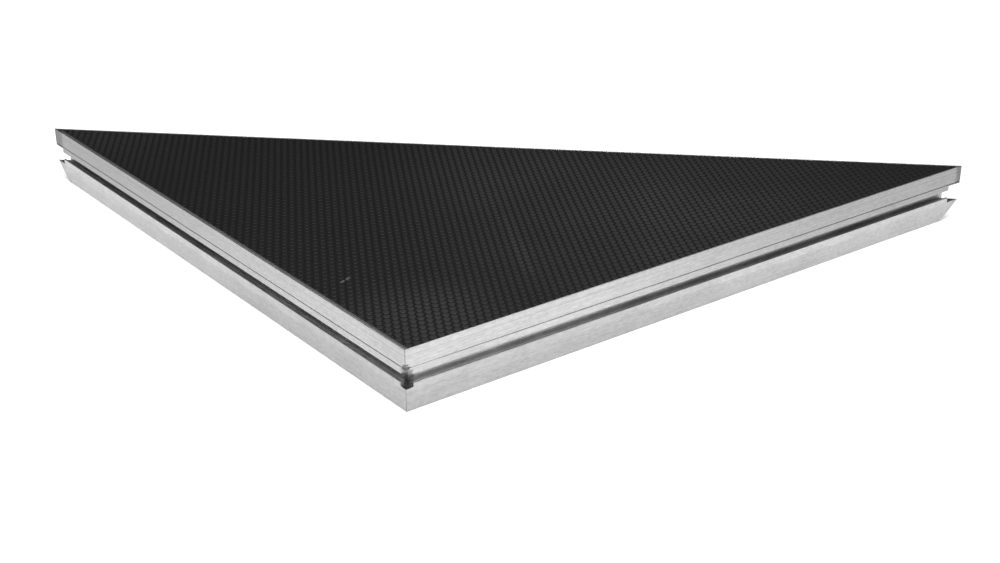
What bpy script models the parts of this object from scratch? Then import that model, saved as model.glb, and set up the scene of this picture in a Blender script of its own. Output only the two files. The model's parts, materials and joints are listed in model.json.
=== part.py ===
"""Triangular stage deck: an anti-slip board in a mitred frame of slotted aluminium extrusion.

The deck stands on Z = 0. In plan it is a right-angled triangle with equal legs: the right
angle (the apex) is at (-LEG / 2, -LEG / 2), the right side runs from it along +X and the left
side along +Y, and the long side joins the two 45 degree tips, so the origin is midway along
the long side. A tube socket stands in each corner and takes a round leg from below, which a
screw clamp grips: the knob turns, and the screw pushes a swivel shoe against the leg.

Sizes in a side's own frame are s, along its outer face; d, inward from that face; z, upward.
Sizes in a corner's own frame have X along the corner's bisector, pointing into the deck.
"""

import math

import bmesh
import bpy
from mathutils import Vector

MM = 0.001

# Deck
LEG = 1000 * MM
HEIGHT = 80 * MM
TOUCH_GAP = 0.3 * MM

# Frame extrusion
WALL = 3 * MM
BOX_DEPTH = 30 * MM
LEDGE_DEPTH = 42 * MM
RIM_WIDTH = 1.8 * MM
BOARD_THICKNESS = 9 * MM
LEDGE_TOP = HEIGHT - BOARD_THICKNESS - TOUCH_GAP
LEDGE_BOTTOM = LEDGE_TOP - WALL
SLOT_DEPTH = 10.5 * MM
SLOT_FLOOR = 30.5 * MM
SLOT_ROOF = 52 * MM
MOUTH_LOW = 35 * MM
MOUTH_HIGH = 46 * MM
SCRIBE_HEIGHT = 55.5 * MM
SCRIBE_SIZE = 0.6 * MM
ARC_STEPS = 3

# Cuts at the corners
NOTCH_LOW_APEX = 29.8 * MM
NOTCH_LOW_TIP = 27.2 * MM
NOTCH_HIGH = 53 * MM
NOTCH_MARGIN = 0.3 * MM
CUT_RISE = 28 * MM
CUT_RUN = 35 * MM
CUT_ANGLE = math.atan2(CUT_RISE, CUT_RUN)
CUT_ROUND = 9 * MM
PLATE_END = 41 * MM
FAR = 60 * MM

# Board, pushed against the right side's rim
BOARD_GAP_RIGHT = 0.35 * MM
BOARD_GAP_LEFT = 4.4 * MM
BOARD_GAP_LONG = 3.2 * MM
BOARD_TIP_ROUND = 1.2 * MM

# Joists: world Y of each, and their section
JOIST_PLACES = {"joist_long": -0.17, "joist_short": 0.13}
JOIST_WIDTH = 30 * MM
JOIST_FLANGE = 60 * MM
JOIST_TOP = LEDGE_BOTTOM - TOUCH_GAP
JOIST_HEIGHT = 50 * MM
JOIST_WALL = 2.5 * MM

# Board screws: distance from the apex, or from the right tip, then across the joists
SCREWS_RIGHT = (0.16, 0.36, 0.56, 0.76)
SCREWS_LEFT = (0.16, 0.48, 0.76)
SCREWS_LONG = (0.26, 0.40, 0.62, 0.80, 1.02, 1.154)
SCREWS_JOIST = {"joist_long": (-0.36, -0.17, 0.02), "joist_short": (-0.38, -0.26)}
SCREW_LINE = 36.5 * MM
JOIST_SCREW_OFFSET = 22 * MM
SCREW_SHANK = 2.4 * MM
SCREW_CLEARANCE = 0.4 * MM
SCREW_HEAD = 4.7 * MM
SCREW_CROWN = 2.8 * MM
SCREW_HEAD_HEIGHT = 3 * MM
SCREW_REACH = 7 * MM
SCREW_SIDES = 10

# Leg sockets
TUBE_RADIUS = 24.15 * MM
BORE_RADIUS = 25 * MM
SOCKET_RADIUS = 30 * MM
SOCKET_INSET = BOX_DEPTH + TOUCH_GAP + SOCKET_RADIUS
SOCKET_LOW = 6 * MM
SOCKET_HIGH = LEDGE_BOTTOM - TOUCH_GAP
STOP_THICKNESS = 5 * MM
PAD_HALF_WIDTH = 14 * MM
ROUND_STEPS = 48

# Screw clamps, along an axis that leaves the socket's centre
CLAMP_HEIGHT = 32 * MM
CLAMP_STEPS = 24
CLAMP_EDGE = 0.8 * MM
SHOE_RADIUS = 9.9 * MM
SHOE_HOLE = 10.5 * MM
SHOE_FRONT = 25.4 * MM
SHOE_HORNS = 3 * MM
SHOE_BACK = 33.4 * MM
SHOE_POCKET = 29 * MM
TIP_RADIUS = 4 * MM
THREAD_RADIUS = 6 * MM
THREAD_CLEARANCE = 0.35 * MM
COUNTERBORE_END = 36 * MM
BOSS_RADIUS = 14 * MM
BOSS_END = 48 * MM
THREAD_END = 75 * MM
KNOB_HUB_START = 58.5 * MM
KNOB_HUB_RADIUS = 10.5 * MM
KNOB_RADIUS = 23 * MM
KNOB_FACE = 66 * MM
KNOB_TOP = 82 * MM
KNOB_EDGE = 2.5 * MM
KNOB_LOBES = 5
KNOB_LOBE_DEPTH = 0.11
KNOB_STEPS = 40

APEX = Vector((-LEG / 2, -LEG / 2, 0))
RIGHT_TIP = Vector((LEG / 2, -LEG / 2, 0))
LEFT_TIP = Vector((-LEG / 2, LEG / 2, 0))
QUARTER = math.pi / 4
EIGHTH = math.pi / 8

# Each corner: its point, half of its angle, and the heading of its inward bisector
CORNERS = {
    "apex": (APEX, QUARTER, QUARTER),
    "right": (RIGHT_TIP, EIGHTH, math.pi - EIGHTH),
    "left": (LEFT_TIP, EIGHTH, EIGHTH - math.pi / 2),
}

# Each side: its start and end corners, going anticlockwise round the deck
SIDES = {"right": ("apex", "right"), "long": ("right", "left"), "left": ("left", "apex")}

ALUMINIUM = ("aluminium", (0.78, 0.79, 0.80), 0.38, 1.0)
SHEET = ("aluminium_plate", (0.70, 0.71, 0.72), 0.45, 1.0)
BOARD = ("phenolic_board", (0.020, 0.020, 0.022), 0.55, 0.0)
STEEL = ("zinc_steel", (0.60, 0.60, 0.58), 0.35, 1.0)
PLASTIC = ("black_plastic", (0.018, 0.018, 0.018), 0.5, 0.0)


def clear_scene():
    for item in list(bpy.data.objects):
        bpy.data.objects.remove(item, do_unlink=True)


def get_material(look):
    name, colour, roughness, metallic = look
    found = bpy.data.materials.get(name)
    if found:
        return found
    made = bpy.data.materials.new(name)
    made.use_nodes = True
    shader = made.node_tree.nodes["Principled BSDF"]
    shader.inputs["Base Color"].default_value = (*colour, 1)
    shader.inputs["Roughness"].default_value = roughness
    shader.inputs["Metallic"].default_value = metallic
    return made


def finish_mesh(name, bm, smooth_angle=math.radians(30)):
    """Turn the faces outward and make the mesh, round parts smooth and corners sharp."""
    bmesh.ops.remove_doubles(bm, verts=bm.verts[:], dist=0.001 * MM)
    bmesh.ops.recalc_face_normals(bm, faces=bm.faces[:])
    mesh = bpy.data.meshes.new(name)
    bm.to_mesh(mesh)
    bm.free()
    mesh.shade_smooth()
    mesh.set_sharp_from_angle(angle=smooth_angle)
    return mesh


def filleted(corners):
    """The closed outline through (x, y, radius) corners, each rounded by an arc."""
    outline = []
    for index, (x, y, radius) in enumerate(corners):
        corner = Vector((x, y))
        if radius == 0:
            outline.append(tuple(corner))
            continue
        before = Vector(corners[index - 1][:2])
        after = Vector(corners[(index + 1) % len(corners)][:2])
        back = (before - corner).normalized()
        ahead = (after - corner).normalized()
        half = back.angle(ahead) / 2
        centre = corner + (back + ahead).normalized() * radius / math.sin(half)
        first = corner + back * radius / math.tan(half)
        last = corner + ahead * radius / math.tan(half)
        begin = math.atan2(first.y - centre.y, first.x - centre.x)
        turn = math.atan2(last.y - centre.y, last.x - centre.x) - begin
        turn -= 2 * math.pi * round(turn / (2 * math.pi))
        outline.append(tuple(first))
        for step in range(1, ARC_STEPS):
            angle = begin + turn * step / ARC_STEPS
            outline.append((centre.x + radius * math.cos(angle), centre.y + radius * math.sin(angle)))
        outline.append(tuple(last))
    return outline


def circle(radius, steps=ROUND_STEPS):
    angles = (2 * math.pi * step / steps for step in range(steps))
    return [(radius * math.cos(angle), radius * math.sin(angle)) for angle in angles]


def swept(loops, place, sweep):
    """A closed prism: the area inside the first loop and outside the others, swept.

    The area is filled at a thousand times its size, because the fill merges near points.
    """
    bm = bmesh.new()
    for loop in loops:
        corners = [bm.verts.new(Vector(place(u, v)) / MM) for u, v in loop]
        for first, second in zip(corners, corners[1:] + corners[:1]):
            bm.edges.new((first, second))
    bmesh.ops.triangle_fill(bm, use_beauty=True, edges=bm.edges[:])
    bmesh.ops.scale(bm, verts=bm.verts[:], vec=(MM, MM, MM))
    grown = bmesh.ops.extrude_face_region(bm, geom=bm.faces[:])["geom"]
    moved = [item for item in grown if isinstance(item, bmesh.types.BMVert)]
    bmesh.ops.translate(bm, verts=moved, vec=sweep)
    return bm


def upright(loops, low, high):
    """A prism with its outline in plan, from one height to another."""
    return swept(loops, lambda x, y: (x, y, low), (0, 0, high - low))


def turned(profile, steps):
    """A closed body of revolution about X, from (x, radius) points."""
    bm = bmesh.new()
    points = [bm.verts.new((x, 0, radius)) for x, radius in profile]
    pairs = list(zip(points, points[1:]))
    if profile[0][1] > 0:
        pairs.append((points[-1], points[0]))
    edges = [bm.edges.new(pair) for pair in pairs]
    bmesh.ops.spin(
        bm, geom=points + edges, axis=(1, 0, 0), cent=(0, 0, 0),
        angle=2 * math.pi, steps=steps, use_merge=True,
    )
    bmesh.ops.dissolve_degenerate(bm, dist=0.001 * MM, edges=bm.edges[:])
    return bm


def add_object(name, mesh, look, place=(0, 0, 0), heading=0, parent=None):
    made = bpy.data.objects.new(name, mesh)
    bpy.context.scene.collection.objects.link(made)
    made.parent = parent
    made.location = place
    made.rotation_euler = (0, 0, heading)
    if look and not mesh.materials:
        mesh.materials.append(get_material(look))
    return made


def add_cutter(name, mesh, place=(0, 0, 0), heading=0):
    cutter = add_object(name, mesh, None, place, heading)
    cutter.display_type = "WIRE"
    cutter.hide_render = True
    return cutter


def cut(piece, cutter, solver="EXACT"):
    """Subtract the cutter. The long thin extrusions need the manifold solver to stay closed."""
    modifier = piece.modifiers.new(cutter.name, "BOOLEAN")
    modifier.operation = "DIFFERENCE"
    modifier.solver = solver
    modifier.object = cutter


def side_frame(side):
    """Start point, heading, length, and the half angles at the start and end of a side."""
    start, start_half, _ = CORNERS[SIDES[side][0]]
    end, end_half, _ = CORNERS[SIDES[side][1]]
    run = end - start
    return start, math.atan2(run.y, run.x), run.length, start_half, end_half


# ---- Frame ----

def section_outline():
    """The extrusion's outside: T-slot, scribed line, rim round the board and its ledge."""
    return filleted([
        (0, 0, 1.5 * MM),
        (0, MOUTH_LOW, 0.8 * MM),
        (WALL, MOUTH_LOW, 0.6 * MM),
        (WALL, SLOT_FLOOR, 0),
        (SLOT_DEPTH, SLOT_FLOOR, 0.8 * MM),
        (SLOT_DEPTH, SLOT_ROOF, 0.8 * MM),
        (WALL, SLOT_ROOF, 0),
        (WALL, MOUTH_HIGH, 0.6 * MM),
        (0, MOUTH_HIGH, 0.8 * MM),
        (0, SCRIBE_HEIGHT - SCRIBE_SIZE, 0),
        (SCRIBE_SIZE, SCRIBE_HEIGHT, 0),
        (0, SCRIBE_HEIGHT + SCRIBE_SIZE, 0),
        (0, HEIGHT, 0.5 * MM),
        (RIM_WIDTH, HEIGHT, 0.4 * MM),
        (RIM_WIDTH, LEDGE_TOP, 0.4 * MM),
        (LEDGE_DEPTH, LEDGE_TOP, 0.8 * MM),
        (LEDGE_DEPTH, LEDGE_BOTTOM, 0.8 * MM),
        (BOX_DEPTH, LEDGE_BOTTOM, 0),
        (BOX_DEPTH, 0, 1.5 * MM),
    ])


def section_chamber():
    """The extrusion's hollow, which goes round behind the slot."""
    behind_slot = SLOT_DEPTH + WALL
    return filleted([
        (WALL, WALL, 0.8 * MM),
        (WALL, SLOT_FLOOR - WALL, 0.8 * MM),
        (behind_slot, SLOT_FLOOR - WALL, 0.8 * MM),
        (behind_slot, SLOT_ROOF + WALL, 0.8 * MM),
        (WALL, SLOT_ROOF + WALL, 0.8 * MM),
        (WALL, LEDGE_BOTTOM, 0.8 * MM),
        (BOX_DEPTH - WALL, LEDGE_BOTTOM, 0.8 * MM),
        (BOX_DEPTH - WALL, WALL, 0.8 * MM),
    ])


def mitred_mesh(name, loops, length, start_half, end_half):
    """A length of extrusion whose ends lie on its corners' bisectors."""
    bm = swept(loops, lambda d, z: (0, d, z), (length, 0, 0))
    for vert in bm.verts:
        at_start = vert.co.x < length / 2
        half = start_half if at_start else end_half
        back = vert.co.y / math.tan(half) + TOUCH_GAP / 2 / math.sin(half)
        vert.co.x += back if at_start else -back
    return finish_mesh(name, bm)


def notch_cutter(corner):
    """Clears the slot's lips from a corner, so that T-slot nuts can be slid in."""
    point, half, heading = CORNERS[corner]
    depth = SLOT_DEPTH + NOTCH_MARGIN
    along = depth / math.tan(half)
    foot = Vector((along * math.cos(half), along * math.sin(half)))
    outside = foot + Vector((-math.sin(half), math.cos(half))) * SLOT_DEPTH
    outline = [
        (depth / math.sin(half), 0),
        (foot.x, foot.y),
        (outside.x, outside.y),
        (-FAR, 0),
        (outside.x, -outside.y),
        (foot.x, -foot.y),
    ]
    low = NOTCH_LOW_APEX if corner == "apex" else NOTCH_LOW_TIP
    mesh = finish_mesh("notch_" + corner, upright([outline], low, NOTCH_HIGH))
    return add_cutter("notch_" + corner, mesh, point, heading)


def slant(height, inset):
    """Distance from a tip, at a height, of the slanting cut moved into the deck by inset."""
    return CUT_RUN * (1 - height / CUT_RISE) + inset / math.sin(CUT_ANGLE)


def tip_cutter(corner):
    """Takes away the lower corner of a tip, behind the closing plate."""
    point, _, heading = CORNERS[corner]
    inset = WALL + TOUCH_GAP
    top = NOTCH_LOW_TIP + 2 * WALL
    outline = filleted([
        (-FAR, top, 0),
        (slant(top, inset), top, 0),
        (slant(inset, inset), inset, CUT_ROUND - inset),
        (PLATE_END + TOUCH_GAP, inset, 0),
        (PLATE_END + TOUCH_GAP, -FAR, 0),
        (-FAR, -FAR, 0),
    ])
    bm = swept([outline], lambda x, z: (x, -FAR, z), (0, 2 * FAR, 0))
    return add_cutter("slant_" + corner, finish_mesh("slant_" + corner, bm), point, heading)


def add_closing_plate(corner):
    """A bent plate over the slanting cut, trimmed flush with the two outer faces."""
    point, half, heading = CORNERS[corner]
    outline = filleted([
        (slant(NOTCH_LOW_TIP, 0), NOTCH_LOW_TIP, 0),
        (slant(0, 0), 0, CUT_ROUND),
        (PLATE_END, 0, 0),
        (PLATE_END, WALL, 0),
        (slant(WALL, WALL), WALL, CUT_ROUND - WALL),
        (slant(NOTCH_LOW_TIP, WALL), NOTCH_LOW_TIP, 0),
    ])
    bm = swept([outline], lambda x, z: (x, -1, z), (0, 2, 0))
    for vert in bm.verts:
        vert.co.y *= vert.co.x * math.tan(half)
    name = "closing_plate_" + corner
    add_object(name, finish_mesh(name, bm), SHEET, point, heading)


def add_frame():
    notches = {corner: notch_cutter(corner) for corner in CORNERS}
    slants = {corner: tip_cutter(corner) for corner in ("right", "left")}
    pieces = []
    for side, corners in SIDES.items():
        start, heading, length, start_half, end_half = side_frame(side)
        name = "frame_" + side
        loops = [section_outline(), section_chamber()]
        mesh = mitred_mesh(name, loops, length, start_half, end_half)
        piece = add_object(name, mesh, ALUMINIUM, start, heading)
        for corner in corners:
            cut(piece, notches[corner], "MANIFOLD")
            if corner in slants:
                cut(piece, slants[corner], "MANIFOLD")
        pieces.append(piece)
    for corner in slants:
        add_closing_plate(corner)
    return pieces


# ---- Board and joists ----

def offset_corner(corner, inset_start, inset_end):
    """Where two lines cross that run inside the sides which meet at a corner.

    inset_start is the inset of the side that starts there, inset_end of the one that ends.
    """
    point, half, heading = CORNERS[corner]
    ahead = Vector((math.cos(heading - half), math.sin(heading - half)))
    inward = Vector((-ahead.y, ahead.x))
    along = (inset_end + inset_start * math.cos(2 * half)) / math.sin(2 * half)
    return point.xy + ahead * along + inward * inset_start


def add_board():
    insets = {
        "right": RIM_WIDTH + BOARD_GAP_RIGHT,
        "left": RIM_WIDTH + BOARD_GAP_LEFT,
        "long": RIM_WIDTH + BOARD_GAP_LONG,
    }
    corners = []
    for corner, ending, starting in (
        ("apex", "left", "right"), ("right", "right", "long"), ("left", "long", "left"),
    ):
        x, y = offset_corner(corner, insets[starting], insets[ending])
        corners.append((x, y, BOARD_TIP_ROUND))
    bm = upright([filleted(corners)], HEIGHT - BOARD_THICKNESS, HEIGHT)
    return add_object("deck_board", finish_mesh("deck_board", bm), BOARD)


def joist_loops():
    low = JOIST_TOP - JOIST_HEIGHT
    half = JOIST_WIDTH / 2
    outline = filleted([
        (-half, low, JOIST_WALL),
        (half, low, JOIST_WALL),
        (half, JOIST_TOP, JOIST_WALL),
        (JOIST_FLANGE / 2, JOIST_TOP, 0),
        (JOIST_FLANGE / 2, LEDGE_TOP, 0),
        (-JOIST_FLANGE / 2, LEDGE_TOP, 0),
        (-JOIST_FLANGE / 2, JOIST_TOP, 0),
        (-half, JOIST_TOP, JOIST_WALL),
    ])
    inner = half - JOIST_WALL
    hollow = [
        (-inner, low + JOIST_WALL),
        (inner, low + JOIST_WALL),
        (inner, JOIST_TOP - JOIST_WALL),
        (-inner, JOIST_TOP - JOIST_WALL),
    ]
    return [outline, hollow]


def ledge_cutter(side):
    """Trims the joists' flanges back from a side's ledge."""
    start, heading, length, _, _ = side_frame(side)
    near = BOX_DEPTH / 2
    far = LEDGE_DEPTH + TOUCH_GAP
    outline = [(0, near), (length, near), (length, far), (0, far)]
    mesh = finish_mesh("trim_" + side, upright([outline], JOIST_TOP, HEIGHT))
    return add_cutter("trim_" + side, mesh, start, heading)


def add_joists():
    trims = [ledge_cutter(side) for side in ("left", "long")]
    inner_face = BOX_DEPTH + TOUCH_GAP
    start = -LEG / 2 + inner_face
    pieces = []
    for name, place in JOIST_PLACES.items():
        end = -place - inner_face * math.sqrt(2)
        bm = swept(joist_loops(), lambda y, z: (0, y, z), (end - start, 0, 0))
        for vert in bm.verts:
            if vert.co.x > 0:
                vert.co.x -= vert.co.y
        piece = add_object(name, finish_mesh(name, bm), ALUMINIUM, (start, place, 0))
        for trim in trims:
            cut(piece, trim)
        pieces.append(piece)
    return pieces


def screw_places():
    """Plan positions of the board screws, along the ledges and the joists' flanges."""
    places = []
    rows = (
        ("right", SCREWS_RIGHT),
        ("long", SCREWS_LONG),
        ("left", [LEG - distance for distance in SCREWS_LEFT]),
    )
    for side, distances in rows:
        start, heading, _, _, _ = side_frame(side)
        ahead = Vector((math.cos(heading), math.sin(heading)))
        inward = Vector((-ahead.y, ahead.x))
        for distance in distances:
            places.append(start.xy + ahead * distance + inward * SCREW_LINE)
    for name, distances in SCREWS_JOIST.items():
        for index, x in enumerate(distances):
            offset = JOIST_SCREW_OFFSET if index % 2 else -JOIST_SCREW_OFFSET
            places.append(Vector((x, JOIST_PLACES[name] + offset)))
    return places


def upright_turned(profile, places):
    """Bodies of revolution about vertical axes, one at each place in plan."""
    bm = bmesh.new()
    for place in places:
        single = turned(profile, SCREW_SIDES)
        for vert in single.verts:
            height, y, z = vert.co
            vert.co = (place.x + y, place.y + z, height)
        part = bpy.data.meshes.new("turned")
        single.to_mesh(part)
        single.free()
        bm.from_mesh(part)
        bpy.data.meshes.remove(part)
    return bm


def add_board_screws(holed):
    head_top = JOIST_TOP
    head_low = head_top - SCREW_HEAD_HEIGHT
    end = LEDGE_TOP + SCREW_REACH
    screw = [
        (head_low, 0),
        (head_low, SCREW_CROWN),
        (head_low + SCREW_HEAD_HEIGHT / 2, SCREW_HEAD),
        (head_top, SCREW_HEAD),
        (head_top, SCREW_SHANK),
        (end - SCREW_SHANK, SCREW_SHANK),
        (end, 0),
    ]
    hole_radius = SCREW_SHANK + SCREW_CLEARANCE
    hole = [
        (head_top - TOUCH_GAP, 0),
        (head_top - TOUCH_GAP, hole_radius),
        (end + TOUCH_GAP, hole_radius),
        (end + TOUCH_GAP, 0),
    ]
    places = screw_places()
    mesh = finish_mesh("board_screw", upright_turned(screw, [Vector((0, 0))]))
    for index, place in enumerate(places, 1):
        add_object(f"board_screw_{index:02d}", mesh, STEEL, (place.x, place.y, 0))
    holes = finish_mesh("screw_holes", upright_turned(hole, places))
    cutter = add_cutter("screw_holes", holes)
    for piece in holed:
        cut(piece, cutter, "MANIFOLD")


# ---- Leg sockets and their screw clamps ----

def socket_outline(half):
    """A circle with a flat pad towards each of the corner's two sides."""
    reach = math.sqrt(SOCKET_RADIUS ** 2 - PAD_HALF_WIDTH ** 2)
    spread = math.asin(PAD_HALF_WIDTH / SOCKET_RADIUS)
    first = math.pi / 2 + half
    outline = []
    for centre, until in ((first, 2 * math.pi - first), (2 * math.pi - first, first + 2 * math.pi)):
        ahead = Vector((math.cos(centre), math.sin(centre)))
        aside = Vector((-ahead.y, ahead.x)) * PAD_HALF_WIDTH
        for along, side in ((reach, -1), (SOCKET_RADIUS, -1), (SOCKET_RADIUS, 1), (reach, 1)):
            outline.append(tuple(ahead * along + aside * side))
        begin = centre + spread
        sweep = until - spread - begin
        steps = max(2, round(ROUND_STEPS * sweep / (2 * math.pi)))
        for step in range(1, steps):
            angle = begin + sweep * step / steps
            outline.append((SOCKET_RADIUS * math.cos(angle), SOCKET_RADIUS * math.sin(angle)))
    return outline


def add_socket(corner, shoe_hole):
    """The leg's tube, between the corner's two sides, and the stop disc inside its top."""
    point, half, heading = CORNERS[corner]
    bisector = Vector((math.cos(heading), math.sin(heading), 0))
    centre = point + bisector * SOCKET_INSET / math.sin(half)
    tube = upright([socket_outline(half), circle(BORE_RADIUS)], SOCKET_LOW, SOCKET_HIGH)
    name = "leg_socket_" + corner
    socket = add_object(name, finish_mesh(name, tube), SHEET, centre, heading)
    disc = circle(BORE_RADIUS - TOUCH_GAP)
    stop = upright([disc], SOCKET_HIGH - STOP_THICKNESS, SOCKET_HIGH)
    name = "leg_stop_" + corner
    add_object(name, finish_mesh(name, stop), SHEET, centre, heading)
    axis = bpy.data.objects.new("clamp_axis_" + corner, None)
    bpy.context.scene.collection.objects.link(axis)
    axis.location = centre + Vector((0, 0, CLAMP_HEIGHT))
    axis.rotation_euler = (0, 0, heading)
    hole = add_cutter("shoe_hole_" + corner, shoe_hole)
    hole.parent = axis
    cut(socket, hole)
    return axis


def shoe_hole_mesh():
    hole = [(0, 0), (0, SHOE_HOLE), (COUNTERBORE_END, SHOE_HOLE), (COUNTERBORE_END, 0)]
    return finish_mesh("shoe_hole", turned(hole, CLAMP_STEPS))


def boss_mesh():
    """The threaded boss: a counterbore for the shoe, then the clearance of the thread."""
    bore = THREAD_RADIUS + THREAD_CLEARANCE
    return finish_mesh("clamp_boss", turned([
        (BORE_RADIUS, SHOE_HOLE),
        (COUNTERBORE_END, SHOE_HOLE),
        (COUNTERBORE_END, bore),
        (BOSS_END - CLAMP_EDGE, bore),
        (BOSS_END, bore + CLAMP_EDGE),
        (BOSS_END, BOSS_RADIUS - CLAMP_EDGE),
        (BOSS_END - CLAMP_EDGE, BOSS_RADIUS),
        (BORE_RADIUS, BOSS_RADIUS),
    ], CLAMP_STEPS))


def shoe_mesh():
    """The pressure shoe: a disc with a pocket at its back for the screw's tip."""
    front = SHOE_FRONT - SHOE_HORNS
    pocket = TIP_RADIUS + 2 * TOUCH_GAP
    return finish_mesh("clamp_shoe", turned([
        (front, 0),
        (front, SHOE_RADIUS),
        (SHOE_BACK - CLAMP_EDGE, SHOE_RADIUS),
        (SHOE_BACK, SHOE_RADIUS - CLAMP_EDGE),
        (SHOE_BACK, pocket),
        (SHOE_POCKET, pocket),
        (SHOE_POCKET, 0),
    ], CLAMP_STEPS))


def screw_mesh():
    """The clamp screw: a plain tip, a neck, and the threaded length up into the knob."""
    tip = SHOE_POCKET + TOUCH_GAP
    neck_end = SHOE_BACK + TOUCH_GAP
    return finish_mesh("clamp_screw", turned([
        (tip, 0),
        (tip, TIP_RADIUS - CLAMP_EDGE),
        (tip + CLAMP_EDGE, TIP_RADIUS),
        (neck_end, TIP_RADIUS),
        (neck_end + CLAMP_EDGE, THREAD_RADIUS),
        (THREAD_END, THREAD_RADIUS),
        (THREAD_END, 0),
    ], CLAMP_STEPS))


def knob_mesh():
    """A star knob with a blind bore for the screw; its lobes grow outward from the hub."""
    bore = THREAD_RADIUS + TOUCH_GAP
    bm = turned([
        (THREAD_END + TOUCH_GAP, 0),
        (THREAD_END + TOUCH_GAP, bore),
        (KNOB_HUB_START, bore),
        (KNOB_HUB_START, KNOB_HUB_RADIUS),
        (KNOB_FACE, KNOB_HUB_RADIUS + KNOB_EDGE / 2),
        (KNOB_FACE, KNOB_RADIUS - KNOB_EDGE),
        (KNOB_FACE + KNOB_EDGE, KNOB_RADIUS),
        (KNOB_TOP - KNOB_EDGE, KNOB_RADIUS),
        (KNOB_TOP, KNOB_RADIUS - 2 * KNOB_EDGE),
        (KNOB_TOP, 0),
    ], KNOB_STEPS)
    for vert in bm.verts:
        radius = math.hypot(vert.co.y, vert.co.z)
        outward = max(0, (radius - 1.2 * KNOB_HUB_RADIUS) / KNOB_RADIUS)
        lobe = math.cos(KNOB_LOBES * math.atan2(vert.co.y, vert.co.z))
        scale = 1 + 2 * KNOB_LOBE_DEPTH * outward * lobe
        vert.co.y *= scale
        vert.co.z *= scale
    return finish_mesh("clamp_knob", bm)


def add_clamps():
    shoe_hole = shoe_hole_mesh()
    boss, shoe, screw, knob = boss_mesh(), shoe_mesh(), screw_mesh(), knob_mesh()
    wrap = finish_mesh("socket_wrap", upright(
        [circle(SOCKET_RADIUS + TOUCH_GAP)], -CLAMP_HEIGHT, CLAMP_HEIGHT))
    leg = finish_mesh("leg_curve", upright(
        [circle(TUBE_RADIUS, 2 * ROUND_STEPS)], -CLAMP_HEIGHT, CLAMP_HEIGHT))
    for corner in CORNERS:
        axis = add_socket(corner, shoe_hole)
        pieces = {}
        for part, mesh, look in (
            ("boss", boss, SHEET),
            ("shoe", shoe, STEEL),
            ("screw", screw, STEEL),
            ("knob", knob, PLASTIC),
        ):
            pieces[part] = add_object(f"clamp_{part}_{corner}", mesh, look, parent=axis)
        outer = add_cutter("socket_wrap_" + corner, wrap)
        outer.parent = axis
        cut(pieces["boss"], outer)
        hollow = add_cutter("leg_curve_" + corner, leg, (SHOE_FRONT - TUBE_RADIUS, 0, 0))
        hollow.parent = axis
        cut(pieces["shoe"], hollow)


def main():
    clear_scene()
    frame = add_frame()
    board = add_board()
    joists = add_joists()
    add_board_screws(frame + joists + [board])
    add_clamps()


main()
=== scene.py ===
"""Looks of a triangular stage deck: film-faced board, mill-finish extrusion, leg clamps.

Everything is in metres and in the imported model's frame: Z is up, the right-angled corner (the
apex) is at -X -Y, the right side runs from it along +X and the left side along +Y. A side's own
coordinates are s along its outer face, d inward from that face and z upward. A corner clamp's
own frame has X along the corner's bisector, away from the corner.
"""

import json
import math

import bmesh
import bpy
import numpy as np
from mathutils import Matrix, Vector, noise


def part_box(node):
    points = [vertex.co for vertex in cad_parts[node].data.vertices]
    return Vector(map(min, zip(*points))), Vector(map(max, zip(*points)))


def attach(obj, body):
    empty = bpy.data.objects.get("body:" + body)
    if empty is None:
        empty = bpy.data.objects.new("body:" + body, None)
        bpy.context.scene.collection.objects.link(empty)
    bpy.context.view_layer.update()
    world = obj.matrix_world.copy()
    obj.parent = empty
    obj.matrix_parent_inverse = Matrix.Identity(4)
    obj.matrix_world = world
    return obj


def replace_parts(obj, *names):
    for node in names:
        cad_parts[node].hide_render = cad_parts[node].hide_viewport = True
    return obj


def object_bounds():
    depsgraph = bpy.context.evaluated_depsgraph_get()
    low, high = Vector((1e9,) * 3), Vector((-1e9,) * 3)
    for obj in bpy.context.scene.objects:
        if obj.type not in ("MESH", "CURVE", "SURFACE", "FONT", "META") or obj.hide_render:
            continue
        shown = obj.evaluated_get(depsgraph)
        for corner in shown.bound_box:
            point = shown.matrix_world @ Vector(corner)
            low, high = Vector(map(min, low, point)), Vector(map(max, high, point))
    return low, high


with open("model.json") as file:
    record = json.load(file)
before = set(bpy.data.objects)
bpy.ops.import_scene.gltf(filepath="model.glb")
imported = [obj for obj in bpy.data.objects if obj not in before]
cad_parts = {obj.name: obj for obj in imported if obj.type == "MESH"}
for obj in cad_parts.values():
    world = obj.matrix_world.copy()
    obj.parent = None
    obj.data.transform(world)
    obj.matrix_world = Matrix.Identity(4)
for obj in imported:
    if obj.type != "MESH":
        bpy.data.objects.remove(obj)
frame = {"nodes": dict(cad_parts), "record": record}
CAD_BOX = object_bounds()

MM = 0.001
LOW, HIGH = CAD_BOX
TOP = HIGH.z
RECORD = frame["record"]
MOUNTS = {mount["name"]: mount for mount in RECORD["mounts"]}
CORNERS = {
    # name: half of the corner's angle, and the heading of its inward bisector
    "apex": (math.radians(45), math.radians(45)),
    "right": (math.radians(22.5), math.radians(157.5)),
    "left": (math.radians(22.5), math.radians(-67.5)),
}
SIDE_ANGLES = {"right": 0.0, "long": math.radians(135), "left": math.radians(-90)}

# Camera: where it stands, which way it looks back from the deck, and its lens
CAMERA_PLACE = Vector((-1.3461, -1.7912, 0.8532))
CAMERA_AZIMUTH = math.radians(-37.24)
CAMERA_ELEVATION = math.radians(24.10)
CAMERA_ROLL = math.radians(-0.21)
CAMERA_LENS = 55.0
CAMERA_SENSOR = 36.0

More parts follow.
